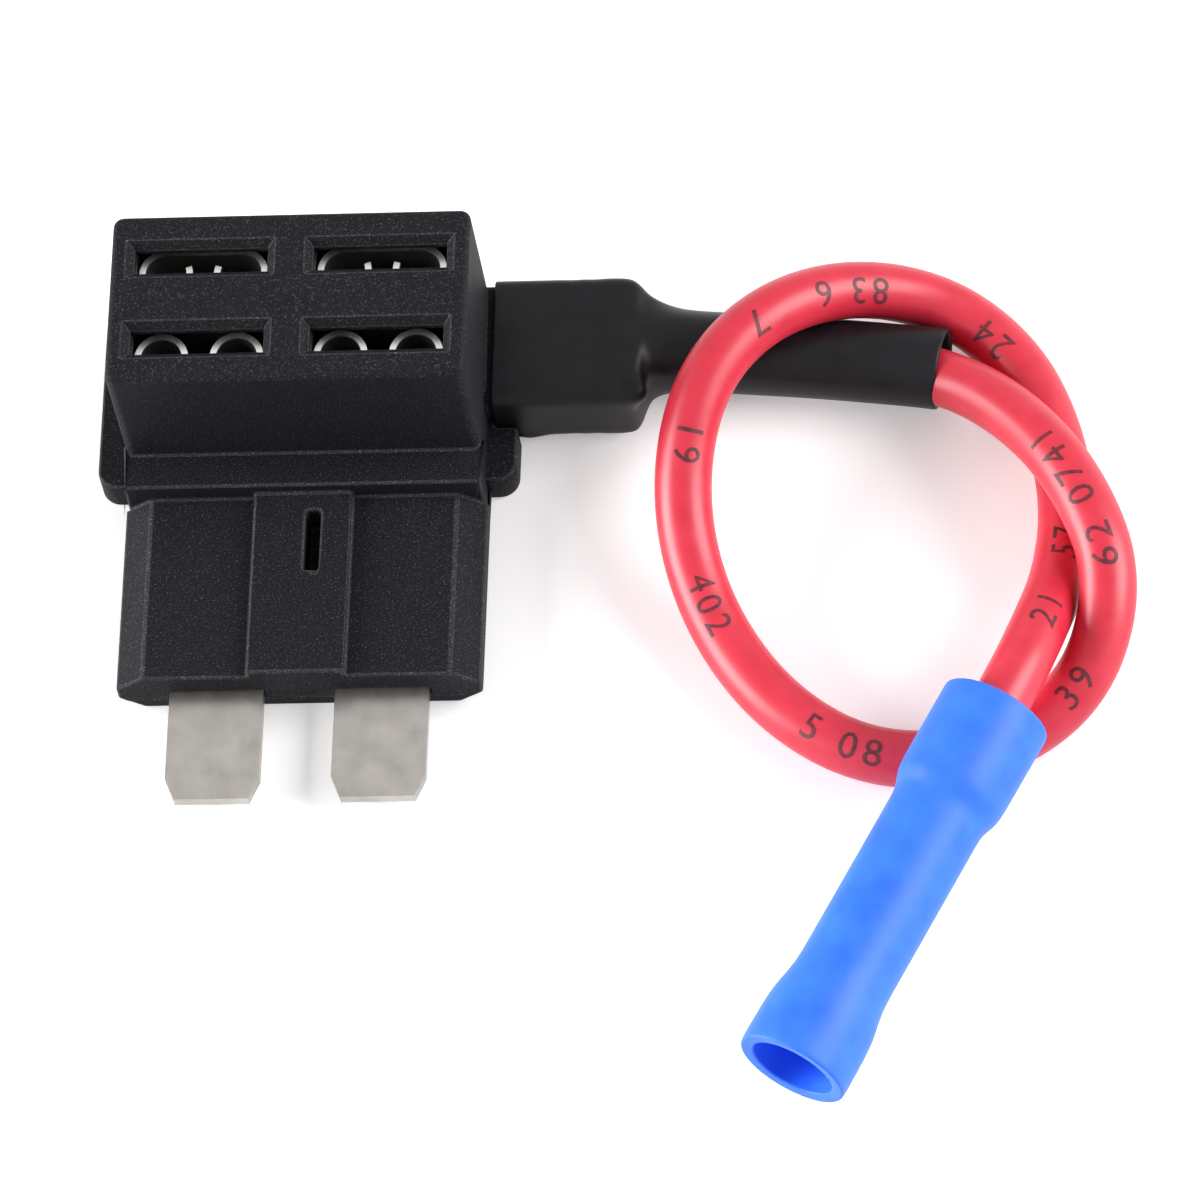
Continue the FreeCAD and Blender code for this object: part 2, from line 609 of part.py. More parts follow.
def strands(label, placement, start, length):
    """the bare end of the lead, as the closed bundle that the crimp makes of its strands"""
    bundle = doc.addObject("Part::Cylinder", label)
    bundle.Label = label
    bundle.setExpression("Radius", "sizes.strand_radius")
    bundle.setExpression("Height", length)
    turn = FreeCAD.Rotation(vector(0, 0, 1), vector(1, 0, 0))
    bundle.Placement = placement.multiply(FreeCAD.Placement(vector(start, 0, 0), turn))
    return bundle


def strands_at_terminal():
    start = size("barrel_start") + size("strand_inset")
    place = FreeCAD.Placement(vector(0, BOSS_MIDDLE, size("lead_level")), FreeCAD.Rotation())
    length = "%.4f - sizes.barrel_start - sizes.strand_inset - sizes.lead_clearance" % LEAD_POINTS[0][0]
    return strands("strands_at_terminal", place, start, length)


def strands_at_splice():
    return strands("strands_at_splice", splice_frame(), size("splice_lead_depth"), "sizes.strands_in_splice")


nodes = [
    front_housing(), back_cover(), line_terminal(), load_terminal(), tap_terminal(), heat_shrink_sleeve(),
    red_wire(), strands_at_terminal(), splice_sleeve(), splice_barrel(), strands_at_splice(),
]
doc.recompute()

for item in doc.Objects:
    if "Invalid" in item.State or "Error" in item.State:
        raise RuntimeError("%s failed: %s" % (item.Label, item.State))
for node in nodes:
    if node.Shape.isNull() or not node.Shape.isValid():
        raise RuntimeError("%s has no valid shape" % node.Label)
    print(node.Label, "solids", len(node.Shape.Solids), "volume %.2f" % node.Shape.Volume)
for node in nodes:
    node.Shape.exportStep("parts/%s.step" % node.Label)
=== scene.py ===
import bisect
import math

import bmesh
import bpy
from mathutils import Matrix, Vector


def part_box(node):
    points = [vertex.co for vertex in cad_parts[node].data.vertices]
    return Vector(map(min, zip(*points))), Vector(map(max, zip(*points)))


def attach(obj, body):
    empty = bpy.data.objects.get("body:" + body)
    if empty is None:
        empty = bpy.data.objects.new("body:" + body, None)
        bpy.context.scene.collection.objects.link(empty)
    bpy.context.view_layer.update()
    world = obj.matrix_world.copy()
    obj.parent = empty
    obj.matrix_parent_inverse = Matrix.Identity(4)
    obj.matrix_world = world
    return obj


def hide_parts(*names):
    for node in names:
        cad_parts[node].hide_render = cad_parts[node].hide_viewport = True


# Blade fuse tap: black moulded housing with two rows of fuse slots, flat tinned blades, a shrink-sleeved
# red lead that runs once round in a loop, and a blue vinyl butt splice on its end.

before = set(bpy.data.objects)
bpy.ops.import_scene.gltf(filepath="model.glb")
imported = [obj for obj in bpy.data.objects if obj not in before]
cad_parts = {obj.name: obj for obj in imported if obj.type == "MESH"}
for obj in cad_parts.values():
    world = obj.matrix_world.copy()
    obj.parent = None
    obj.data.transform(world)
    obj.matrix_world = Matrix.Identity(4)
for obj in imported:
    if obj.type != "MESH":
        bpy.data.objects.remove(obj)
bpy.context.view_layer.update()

MM = 0.001

# The camera that took the photograph: its place and its axes, and its lens and sensor in millimetres
CAMERA_PLACE = Vector((80.8, -282.3, 531.8)) * MM
CAMERA_RIGHT = Vector((0.9941, 0.0324, -0.1035))
CAMERA_BACK = Vector((0.1068, -0.4596, 0.8817))
CAMERA_LENS = 325.3
CAMERA_SENSOR = 36

# Head of the housing: the frame gives its far side and its top
HEAD_SIDE = 10 * MM
HEAD_NEAR = 2.1 * MM
HEAD_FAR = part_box("front_housing")[1].y
HEAD_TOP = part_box("front_housing")[1].z

# Rounding of the shells' edges: its width, the share of it on the slots' rims, how far in from the head's
# sides and how deep the rims are counted, and the space that the terminals' channels take in the cover
EDGE_ROUNDING = 0.16 * MM
SLOT_RIM_SHARE = 0.35
HEAD_EDGE_ZONE = 0.7 * MM
SLOT_RIM_DEPTH = 0.5 * MM
CHANNEL_LEVEL = 0.9 * MM
CHANNEL_NEAR = -0.5 * MM
CHANNEL_FAR = HEAD_FAR - 0.1 * MM

# Two points nearer than this are one, a bend of less than the first angle is flat, and one of more than the
# second is a sharp edge
MERGE_GAP = 0.002 * MM
FLAT_ANGLE = math.radians(0.5)
SHARP_ANGLE = math.radians(25)

# Receptacles: the sheared rim, painted near white as a painted highlight, starts this far up
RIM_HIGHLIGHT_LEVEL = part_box("line_terminal")[1].z - 0.15 * MM
RIM_HIGHLIGHT_BLEND = 0.1 * MM

# Lead
LEAD_RADIUS = 1.6 * MM

# Shrink sleeve: its wall, and the underside, top and corners of its square end
SLEEVE_WALL = 0.33 * MM
SLEEVE_BOTTOM = 0.37 * MM
SLEEVE_TOP = 5.03 * MM
SLEEVE_CORNER = 0.78 * MM

# Shape of the sleeve after its open end, in millimetres: each ring's centre, its half sizes across and up,
# its roundness from 0 to 1, and its turn in degrees. The lead's round part has half sizes of 2.27.
SLEEVE_RINGS = [
    (10.5, 8.9, 2.70, 3.98, 2.33, 0, 0), (11.2, 8.9, 2.70, 3.98, 2.33, 0, 0),
    (12.2, 8.9, 2.70, 3.98, 2.33, 0, 0), (13.2, 8.9, 2.70, 3.98, 2.33, 0, 0),
    (14.1, 8.9, 2.70, 3.99, 2.33, 0, 0), (14.8, 8.9, 2.70, 3.95, 2.32, 0, 0),
    (15.4, 8.9, 2.70, 4.00, 2.34, 0, 0), (16.0, 8.9, 2.70, 3.96, 2.32, 0, 0),
    (16.6, 8.9, 2.70, 4.01, 2.34, 0, 0), (17.3, 8.9, 2.70, 4.01, 2.34, 0, 0),
    (17.8, 8.9, 2.70, 3.98, 2.33, 0, 0), (18.2, 8.89, 2.69, 3.89, 2.32, 0, 0),
    (18.5, 8.96, 2.68, 3.60, 2.31, 0.05, 0), (18.75, 9.24, 2.67, 3.13, 2.30, 0.15, 0),
    (19.05, 9.43, 2.64, 2.74, 2.29, 0.4, 0), (19.8, 9.37, 2.58, 2.53, 2.28, 0.7, 0),
    (20.6, 9.27, 2.52, 2.39, 2.27, 1, 0), (21.4, 9.18, 2.48, 2.33, 2.27, 1, 0),
    (22.4, 9.13, 2.46, 2.27, 2.27, 1, 2), (25.0, 8.93, 2.42, 2.27, 2.27, 1, 4),
    (28.5, 8.66, 2.36, 2.27, 2.27, 1, 5), (31.5, 8.3, 2.36, 2.27, 2.27, 1, 6),
    (33.6, 8.02, 2.42, 2.27, 2.27, 1, 8), (35.1, 7.78, 2.5, 2.29, 2.29, 1, 11),
    (35.5, 7.7, 2.52, 2.3, 2.3, 1, 12),
]

# Dents and bulges of the sleeve, in millimetres: the place, the move there, and how far round it reaches.
# The corner of the boss pushes out a nub, with a fold beside it, and the edge by the flange bulges.
SLEEVE_PULLS = [
    ((18.5, 5.2, 4.5), (0.8, -0.1, 0.0), 1.25),
    ((17.9, 5.9, 5.03), (0.0, 0.0, -0.25), 0.5),
    ((12.3, 4.95, 0.6), (0.0, -0.42, 0.05), 0.75),
]

# Splice: how deep the lead goes in, the bells and the waist, the wall, and the rounding of the mouths' rims
SPLICE_LEAD_DEPTH = 4.6 * MM
BELL_RADIUS = 3.15 * MM
WAIST_RADIUS = 2.7 * MM
BELL_WALL = 0.75 * MM
MOUTH_ROUNDING = 0.14 * MM

# Shape of the splice's tube along its axis, in millimetres, with its radius as a share of the bell's
WAIST = WAIST_RADIUS / BELL_RADIUS
SPLICE_RINGS = [
    (0.25, 1.0), (2.4, 1.0), (4.6, 1.0), (5.5, 0.99), (6.0, 0.95), (6.5, 0.885), (7.0, WAIST), (7.6, WAIST),
    (10.0, WAIST), (13.0, WAIST), (16.0, WAIST), (18.0, WAIST), (18.9, 0.89), (19.8, 0.95), (20.7, 0.99),
    (22.1, 1.0), (23.5, 1.005), (23.9, 0.99),
]

# Plain numbers printed on the lead: the side of it that they are on, their size, how thick the ink is, and
# for each how far along the lead its first digit is, in millimetres, and its digits
PRINT_SIDE = Vector((0.1, -0.45, 0.88))
PRINT_SIZE = 2.2 * MM
PRINT_SPACING = 1.25
PRINT_LIFT = 0.012 * MM
PRINT_MARKS = [
    (37, "62 0741"), (45, "39"), (60, "5 08"), (71, "402"), (80, "19"), (87, "7"), (95, "83 6"),
    (104, "24"), (112, "9"), (119, "57"), (125, "21"),
]

# Centre of the lead, in millimetres, from the crimp barrel to inside the splice
LEAD_POINTS = [
    (16.3, 8.9, 2.6), (21.3, 9.2, 2.5), (28.5, 8.6, 2.3), (34.9, 7.7, 2.3), (39.4, 4.3, 4.1),
    (43.2, -1.0, 5.8), (45.5, -7.0, 5.2), (43.7, -12.5, 2.4), (38.5, -16.0, 1.6), (31.9, -16.3, 1.6),
    (26.3, -12.7, 1.6), (22.4, -6.8, 2.0), (21.0, -0.8, 4.2), (22.2, 4.8, 6.8), (25.6, 9.2, 6.8),
    (30.3, 12.0, 4.7), (35.4, 12.2, 2.2), (39.5, 8.9, 1.6), (41.7, 4.2, 1.6), (42.6, -1.0, 1.7),
    (42.2, -5.7, 2.7), (41.2, -10.1, 5.1), (39.9, -14.2, 6.55), (37.05, -19.9, 6.55),
]
SPLICE_AXIS = (Vector(LEAD_POINTS[-1]) - Vector(LEAD_POINTS[-2])).normalized()
SPLICE_START = Vector(LEAD_POINTS[-1]) * MM - SPLICE_AXIS * SPLICE_LEAD_DEPTH

# Light: the softboxes' width and the point that they face, and the strengths of the world and the floor
SOFTBOX_WIDTH = 0.4
SOFTBOX_AIM = Vector((0.015, -0.005, 0.004))
WORLD_STRENGTH = 0.32
FLOOR_GLOW = 0.32
FLOOR_LEVEL = -0.01 * MM


# Shader nodes

def linear(code):
    """an sRGB hex value as the linear colour that shaders work in"""
    def channel(index):
        value = int(code[index:index + 2], 16) / 255
        return value / 12.92 if value <= 0.04045 else ((value + 0.055) / 1.055) ** 2.4
    return (channel(1), channel(3), channel(5), 1)


def per_mm(count):
    """the texture scale that puts so many cells of a pattern on a millimetre"""
    return count / MM


def new_material(name):
    material = bpy.data.materials.new(name)
    material.use_nodes = True
    material.node_tree.nodes.clear()
    return material, material.node_tree


def add(tree, kind, inputs=None, stops=(), **settings):
    """adds one shader node; an input is a value, or the socket that it is linked from, and the stops of a
    colour ramp are places with hex values"""
    made = tree.nodes.new(kind)
    made.location = (200 * len(tree.nodes), 0)
    for name, value in settings.items():
        setattr(made, name, value)
    for socket, value in (inputs or {}).items():
        if isinstance(value, bpy.types.NodeSocket):
            tree.links.new(value, made.inputs[socket])
        else:
            made.inputs[socket].default_value = value
    for index, (place, code) in enumerate(stops):
        elements = made.color_ramp.elements
        element = elements[index] if index < len(elements) else elements.new(place)
        element.position = place
        element.color = linear(code)
    return made


def spark_eroded_nylon(name, shades):
    """Glass-filled nylon moulded in a spark-eroded tool: matt near-black with a grain of about 0.1 mm whose
    tips catch the light as grey specks. In greyer shades it is also the painted highlight on the shells'
    rounded edges. The shades are those of the hollows, the slopes and the tips."""
    material, tree = new_material(name)
    place = add(tree, "ShaderNodeTexCoord").outputs["Object"]
    grain = add(tree, "ShaderNodeTexNoise", {"Vector": place, "Scale": per_mm(9), "Detail": 2.0})
    specks = add(tree, "ShaderNodeTexNoise", {"Vector": place, "Scale": per_mm(11), "Detail": 1.0})
    cloud = add(tree, "ShaderNodeTexNoise", {"Vector": place, "Scale": per_mm(0.24), "Detail": 2.0})
    colour = add(tree, "ShaderNodeValToRGB", {"Fac": specks.outputs["Fac"]},
                 stops=list(zip((0.48, 0.62, 0.76), shades)))
    rough = add(tree, "ShaderNodeMapRange", {"Value": cloud.outputs["Fac"], "To Min": 0.55, "To Max": 0.65})
    bump = add(tree, "ShaderNodeBump", {
        "Height": grain.outputs["Fac"], "Strength": 0.5, "Distance": 0.03 * MM})
    shader = add(tree, "ShaderNodeBsdfPrincipled", {
        "Base Color": colour.outputs[0], "Roughness": rough.outputs[0], "Normal": bump.outputs[0],
        "IOR": 1.5, "Specular IOR Level": 0.1})
    add(tree, "ShaderNodeOutputMaterial", {"Surface": shader.outputs[0]})
    return material


def matt_tin_plate():
    """Matt tin over rolled brass strip: a soft grey metal with a faint grain along the rolling direction.
    The receptacles' sheared rims are painted near white, a painted highlight along their edges."""
    material, tree = new_material("matt_tin_plated_brass")
    place = add(tree, "ShaderNodeTexCoord").outputs["Object"]
    drawn = add(tree, "ShaderNodeMapping", {"Vector": place, "Scale": (1.0, 0.05, 1.0)})
    lines = add(tree, "ShaderNodeTexNoise", {"Vector": drawn.outputs[0], "Scale": per_mm(5), "Detail": 3.0})
    cloud = add(tree, "ShaderNodeTexNoise", {"Vector": place, "Scale": per_mm(0.7), "Detail": 4.0})
    rolled = add(tree, "ShaderNodeValToRGB", {"Fac": cloud.outputs["Fac"]},
                 stops=[(0.3, "#a5a09b"), (0.7, "#b7b2ad")])
    level = add(tree, "ShaderNodeSeparateXYZ", {"Vector": place}).outputs["Z"]
    # the sheared rim is painted near white: a painted highlight
    rim_highlight = add(tree, "ShaderNodeMapRange", {
        "Value": level, "From Min": RIM_HIGHLIGHT_LEVEL, "From Max": RIM_HIGHLIGHT_LEVEL + RIM_HIGHLIGHT_BLEND})
    colour = add(tree, "ShaderNodeMix", {0: rim_highlight.outputs[0], 6: rolled.outputs[0], 7: linear("#f6f5f2")},
                 data_type="RGBA")
    rough = add(tree, "ShaderNodeMapRange", {"Value": lines.outputs["Fac"], "To Min": 0.28, "To Max": 0.42})
    bump = add(tree, "ShaderNodeBump", {
        "Height": lines.outputs["Fac"], "Strength": 0.2, "Distance": 0.01 * MM})
    shader = add(tree, "ShaderNodeBsdfPrincipled", {
        "Base Color": colour.outputs[2], "Metallic": 1.0, "Roughness": rough.outputs[0],
        "Normal": bump.outputs[0]})
    add(tree, "ShaderNodeOutputMaterial", {"Surface": shader.outputs[0]})
    return material


def bright_copper():
    """Bare drawn copper strands under the crimps: bright, and a little uneven in colour."""
    material, tree = new_material("drawn_copper_strand")
    place = add(tree, "ShaderNodeTexCoord").outputs["Object"]
    cloud = add(tree, "ShaderNodeTexNoise", {"Vector": place, "Scale": per_mm(4), "Detail": 2.0})
    colour = add(tree, "ShaderNodeValToRGB", {"Fac": cloud.outputs["Fac"]},
                 stops=[(0.3, "#9c5a34"), (0.7, "#d98c5c")])
    shader = add(tree, "ShaderNodeBsdfPrincipled", {
        "Base Color": colour.outputs[0], "Metallic": 1.0, "Roughness": 0.3})
    add(tree, "ShaderNodeOutputMaterial", {"Surface": shader.outputs[0]})
    return material


def shrunk_polyolefin():
    """Heat-shrunk polyolefin tube: satin black, a little uneven where it was heated."""
    material, tree = new_material("shrunk_black_polyolefin")
    place = add(tree, "ShaderNodeTexCoord").outputs["Object"]
    skin = add(tree, "ShaderNodeTexNoise", {"Vector": place, "Scale": per_mm(0.9), "Detail": 3.0})
    fine = add(tree, "ShaderNodeTexNoise", {"Vector": place, "Scale": per_mm(7), "Detail": 2.0})
    colour = add(tree, "ShaderNodeValToRGB", {"Fac": skin.outputs["Fac"]},
                 stops=[(0.3, "#0e0e11"), (0.7, "#16161a")])
    rough = add(tree, "ShaderNodeMapRange", {"Value": skin.outputs["Fac"], "To Min": 0.34, "To Max": 0.48})
    bump = add(tree, "ShaderNodeBump", {
        "Height": fine.outputs["Fac"], "Strength": 0.25, "Distance": 0.02 * MM})
    shader = add(tree, "ShaderNodeBsdfPrincipled", {
        "Base Color": colour.outputs[0], "Roughness": rough.outputs[0], "Normal": bump.outputs[0],
        "IOR": 1.5, "Specular IOR Level": 0.22})
    add(tree, "ShaderNodeOutputMaterial", {"Surface": shader.outputs[0]})
    return material


def red_vinyl():
    """Extruded red vinyl insulation: satin, with a barely uneven skin."""
    material, tree = new_material("extruded_red_vinyl")
    place = add(tree, "ShaderNodeTexCoord").outputs["Object"]
    skin = add(tree, "ShaderNodeTexNoise", {"Vector": place, "Scale": per_mm(0.6), "Detail": 3.0})
    colour = add(tree, "ShaderNodeValToRGB", {"Fac": skin.outputs["Fac"]},
                 stops=[(0.3, "#cb2439"), (0.7, "#d52f44")])
    rough = add(tree, "ShaderNodeMapRange", {"Value": skin.outputs["Fac"], "To Min": 0.34, "To Max": 0.44})
    bump = add(tree, "ShaderNodeBump", {
        "Height": skin.outputs["Fac"], "Strength": 0.15, "Distance": 0.05 * MM})
    shader = add(tree, "ShaderNodeBsdfPrincipled", {
        "Base Color": colour.outputs[0], "Roughness": rough.outputs[0], "Normal": bump.outputs[0],
        "IOR": 1.53})
    add(tree, "ShaderNodeOutputMaterial", {"Surface": shader.outputs[0]})
    return material


def marking_ink():
    """Dark red-brown marking ink, rolled thin on the vinyl: matt, and a little patchy."""
    material, tree = new_material("dark_marking_ink")
    place = add(tree, "ShaderNodeTexCoord").outputs["Object"]
    patch = add(tree, "ShaderNodeTexNoise", {"Vector": place, "Scale": per_mm(3), "Detail": 2.0})
    colour = add(tree, "ShaderNodeValToRGB", {"Fac": patch.outputs["Fac"]},
                 stops=[(0.35, "#400c16"), (0.7, "#74182a")])
    shader = add(tree, "ShaderNodeBsdfPrincipled", {
        "Base Color": colour.outputs[0], "Roughness": 0.5, "IOR": 1.5})
    add(tree, "ShaderNodeOutputMaterial", {"Surface": shader.outputs[0]})
    return material


def blue_splice_vinyl():
    """Blue vinyl tube pressed over the splice barrel: satin, with a soft uneven skin. A thin film of it is
    translucent, and at this thickness it looks solid."""
    material, tree = new_material("translucent_blue_vinyl")
    place = add(tree, "ShaderNodeTexCoord").outputs["Object"]
    skin = add(tree, "ShaderNodeTexNoise", {"Vector": place, "Scale": per_mm(0.5), "Detail": 3.0})
    colour = add(tree, "ShaderNodeValToRGB", {"Fac": skin.outputs["Fac"]},
                 stops=[(0.3, "#2d6df5"), (0.7, "#397bff")])
    rough = add(tree, "ShaderNodeMapRange", {"Value": skin.outputs["Fac"], "To Min": 0.42, "To Max": 0.56})
    bump = add(tree, "ShaderNodeBump", {
        "Height": skin.outputs["Fac"], "Strength": 0.35, "Distance": 0.1 * MM})
    shader = add(tree, "ShaderNodeBsdfPrincipled", {
        "Base Color": colour.outputs[0], "Roughness": rough.outputs[0], "Normal": bump.outputs[0],
        "IOR": 1.53, "Specular IOR Level": 0.32})
    add(tree, "ShaderNodeOutputMaterial", {"Surface": shader.outputs[0]})
    return material


def paint(piece, material):
    """the material becomes the piece's only one"""
    piece.data.materials.clear()
    piece.data.materials.append(material)


# Modelling helpers

def alone(piece):
    """the piece is the only one selected, and the active one"""
    bpy.ops.object.select_all(action="DESELECT")
    piece.select_set(True)
    bpy.context.view_layer.objects.active = piece


def choose_edges(piece, test):
    """in edit mode, selects the edges whose middle passes the test, and nothing else"""
    bpy.ops.mesh.select_mode(type="EDGE")
    bpy.ops.mesh.select_all(action="DESELECT")
    shape = bmesh.from_edit_mesh(piece.data)
    for edge in shape.edges:
        edge.select = test((edge.verts[0].co + edge.verts[1].co) / 2)
    shape.select_flush(True)
    bmesh.update_edit_mesh(piece.data)


def finish_with(piece, kind, **settings):
    """adds a modifier to the piece and applies it"""
    alone(piece)
    modifier = piece.modifiers.new(kind.lower(), kind)
    for name, value in settings.items():
        setattr(modifier, name, value)
    bpy.ops.object.modifier_apply(modifier=modifier.name)


def face_outwards(piece):
    """merges doubles and points every face of an open or closed shell outwards"""
    alone(piece)
    bpy.ops.object.mode_set(mode="EDIT")
    bpy.ops.mesh.select_all(action="SELECT")
    bpy.ops.mesh.remove_doubles(threshold=MERGE_GAP)
    bpy.ops.mesh.normals_make_consistent(inside=False)
    bpy.ops.object.mode_set(mode="OBJECT")


def has_room(edge):
    """whether the rounding fits on both faces of the edge and along it"""
    start, end = (vertex.co for vertex in edge.verts)
    along = (end - start).normalized()
    if (end - start).length < EDGE_ROUNDING / 2:
        return False
    for face in edge.link_faces:
        offsets = [vertex.co - start for vertex in face.verts]
        breadth = max((offset - along * offset.dot(along)).length for offset in offsets)
        if breadth < 1.5 * EDGE_ROUNDING:
            return False
    return True


def softened_shell(node, share, finishes):
    """a merged copy of a housing node with its sharp edges rounded over, each by the share that its middle
    gives; of the two finishes, the second, greyer one goes on the rounded edges as a painted highlight"""
    piece = bpy.data.objects.new(node + "_shell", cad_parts[node].data.copy())
    bpy.context.scene.collection.objects.link(piece)
    alone(piece)
    bpy.ops.object.mode_set(mode="EDIT")
    bpy.ops.mesh.select_all(action="SELECT")
    bpy.ops.mesh.remove_doubles(threshold=MERGE_GAP)
    bpy.ops.mesh.dissolve_limited(angle_limit=FLAT_ANGLE)
    shape = bmesh.from_edit_mesh(piece.data)
    weight = shape.edges.layers.float.new("bevel_weight_edge")
    for edge in shape.edges:
        sharp = len(edge.link_faces) == 2 and edge.calc_face_angle() > SHARP_ANGLE
        if sharp and has_room(edge):
            edge[weight] = share((edge.verts[0].co + edge.verts[1].co) / 2)
    bmesh.update_edit_mesh(piece.data)
    bpy.ops.object.mode_set(mode="OBJECT")
    piece.data.materials.clear()
    for finish in finishes:
        piece.data.materials.append(finish)
    finish_with(piece, "BEVEL", limit_method="WEIGHT", width=EDGE_ROUNDING, segments=3,
                use_clamp_overlap=False, harden_normals=True, miter_outer="MITER_ARC", material=1)
    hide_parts(node)
    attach(piece, "root")


# Pieces

def front_housing(finishes):
    """the front shell, with its outer edges as soft as the moulding's, and its slots' rims less so"""
    def share(middle):
        across = abs(middle.x) < HEAD_SIDE - HEAD_EDGE_ZONE
        inside = across and HEAD_NEAR + HEAD_EDGE_ZONE < middle.y < HEAD_FAR - HEAD_EDGE_ZONE
        if inside and middle.z < HEAD_TOP - SLOT_RIM_DEPTH:
            return 0.0
        return SLOT_RIM_SHARE if inside else 1.0

    softened_shell("front_housing", share, finishes)


def back_cover(finishes):
    """the back shell, with its outer edges rounded and its channels as they are"""
    def share(middle):
        under_head = abs(middle.x) < HEAD_SIDE and CHANNEL_NEAR < middle.y < CHANNEL_FAR
        return 0.0 if under_head and middle.z > CHANNEL_LEVEL else 1.0

    softened_shell("back_cover", share, finishes)


def metal_parts():
    """the terminals and the splice's barrel keep their own solids and get their finishes"""
    tin = matt_tin_plate()
    copper = bright_copper()
    for name in ("line_terminal", "load_terminal", "tap_terminal", "splice_barrel"):
        paint(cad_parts[name], tin)
    for name in ("strands_at_terminal", "strands_at_splice"):
        paint(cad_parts[name], copper)


def red_wire():
    """the lead, as one smooth course through its points"""
    curve = bpy.data.curves.new("red_lead", "CURVE")
    curve.dimensions = "3D"
    spline = curve.splines.new("NURBS")
    spline.points.add(len(LEAD_POINTS) - 1)
    for point, place in zip(spline.points, LEAD_POINTS):
        point.co = (*(Vector(place) * MM), 1)
    spline.order_u = 3
    spline.use_endpoint_u = True
    spline.resolution_u = 14
    spline.use_smooth = True
    curve.bevel_depth = LEAD_RADIUS
    curve.bevel_resolution = 10
    curve.use_fill_caps = True
    piece = bpy.data.objects.new("red_lead", curve)
    bpy.context.scene.collection.objects.link(piece)
    paint(piece, red_vinyl())
    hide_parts("red_wire")
    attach(piece, "root")
    return piece


def course_of(lead):
    """the lead's smooth centre line, as a function from a length along it to a place and a direction"""
    bare = lead.data.copy()
    bare.bevel_depth = 0
    holder = bpy.data.objects.new("course", bare)
    line = [vertex.co.copy() for vertex in bpy.data.meshes.new_from_object(holder).vertices]
    bpy.data.objects.remove(holder)
    lengths = [0.0]
    for start, end in zip(line, line[1:]):
        lengths.append(lengths[-1] + (end - start).length)

    def at(length):
        index = min(max(bisect.bisect(lengths, length) - 1, 1), len(line) - 3)
        share = (length - lengths[index]) / (lengths[index + 1] - lengths[index])
        place = line[index].lerp(line[index + 1], share)
        before = line[index + 1] - line[index - 1]
        after = line[index + 2] - line[index]
        return place, before.lerp(after, share).normalized()

    return at


def lead_print(lead):
    """the plain numbers, each drawn flat and then bent round the lead's skin; they read back towards the
    housing"""
    at = course_of(lead)
    marks = []
    for start, digits in PRINT_MARKS:
        bpy.ops.object.select_all(action="DESELECT")
        bpy.ops.object.text_add()
        mark = bpy.context.object
        mark.data.body = digits
        mark.data.size = PRINT_SIZE
        mark.data.align_y = "CENTER"
        mark.data.resolution_u = 3
        mark.data.space_character = PRINT_SPACING
        bpy.ops.object.convert(target="MESH")
        bpy.ops.object.mode_set(mode="EDIT")
        bpy.ops.mesh.select_all(action="SELECT")
        bpy.ops.mesh.remove_doubles(threshold=MERGE_GAP / 2)
        bpy.ops.mesh.subdivide(number_cuts=5)
        bpy.ops.object.mode_set(mode="OBJECT")
        for vertex in mark.data.vertices:
            place, along = at(start * MM - vertex.co.x)
            out = (PRINT_SIDE - along * PRINT_SIDE.dot(along)).normalized()
            up = along.cross(out)
            angle = vertex.co.y / LEAD_RADIUS
            outwards = out * math.cos(angle) + up * math.sin(angle)
            vertex.co = place + outwards * (LEAD_RADIUS + PRINT_LIFT)
        marks.append(mark)
    alone(marks[0])
    for mark in marks:
        mark.select_set(True)
    bpy.ops.object.join()
    piece = marks[0]
    piece.name = "lead_numbers"
    paint(piece, marking_ink())
    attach(piece, "root")
    return piece


def extrude_ring(step):
    """in edit mode, draws the selected open ring on by a step"""
    bpy.ops.mesh.extrude_region_move(TRANSFORM_OT_translate={"value": step})


def pull(piece, place, step, reach):
    """in edit mode, moves the vertex nearest to a place, and what lies within reach goes along; all in mm"""
    shape = bmesh.from_edit_mesh(piece.data)
    target = Vector(place) * MM
    nearest = min(shape.verts, key=lambda vertex: (vertex.co - target).length)
    bpy.ops.mesh.select_all(action="DESELECT")
    nearest.select = True
    bmesh.update_edit_mesh(piece.data)
    bpy.ops.transform.translate(value=Vector(step) * MM, use_proportional_edit=True,
                                proportional_edit_falloff="SMOOTH", proportional_size=reach * MM)


